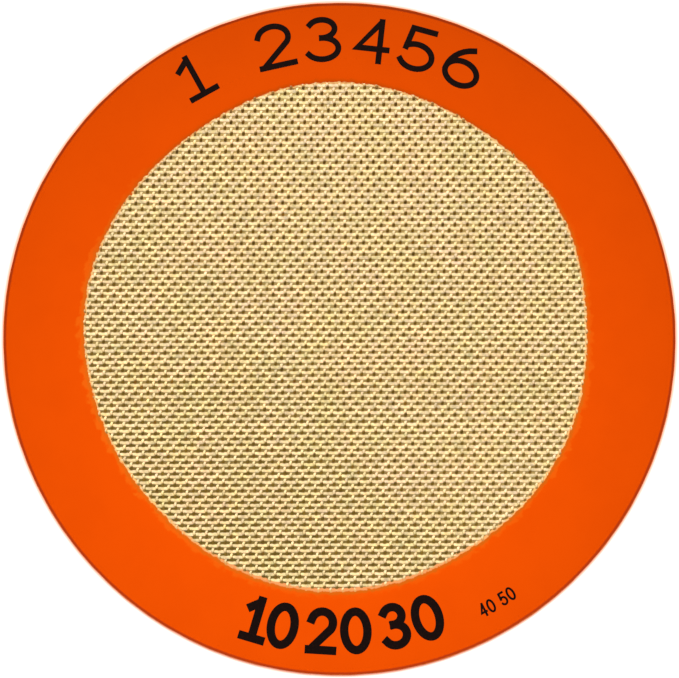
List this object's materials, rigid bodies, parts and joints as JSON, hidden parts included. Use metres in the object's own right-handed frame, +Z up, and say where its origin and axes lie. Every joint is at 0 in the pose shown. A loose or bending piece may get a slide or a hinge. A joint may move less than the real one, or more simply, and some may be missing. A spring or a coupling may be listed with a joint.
{
  "type": "silicone baking mat",
  "caption": "Round flexible baking mat: open plain-woven glass cloth sealed in clear silicone, with a smooth coloured silicone border on both faces and a rounded rim",
  "frame": {"origin": "middle of the mat's underside, on the surface it lies on", "axes": "+Z up through the mat's thin direction, +Y towards the side with the top marks, +X to the right of the print"},
  "size_m": [0.2286, 0.2286, 0.0009],
  "materials": {
    "glass_yarn": "flat glass yarn soaked with silicone",
    "clear_silicone": "amber see-through silicone, smooth with a soft gloss",
    "border_silicone": "smooth coloured silicone, satin",
    "rim_silicone": "smooth coloured silicone, satin, a shade deeper"
  },
  "bodies": {
    "root": {"warp_yarns": "glass_yarn", "weft_yarns": "glass_yarn", "silicone_under_coat": "clear_silicone", "silicone_top_coat": "clear_silicone", "border_band_under": "border_silicone", "border_band_top": "border_silicone", "edge_seal": "rim_silicone"}
  },
  "joints": []
}
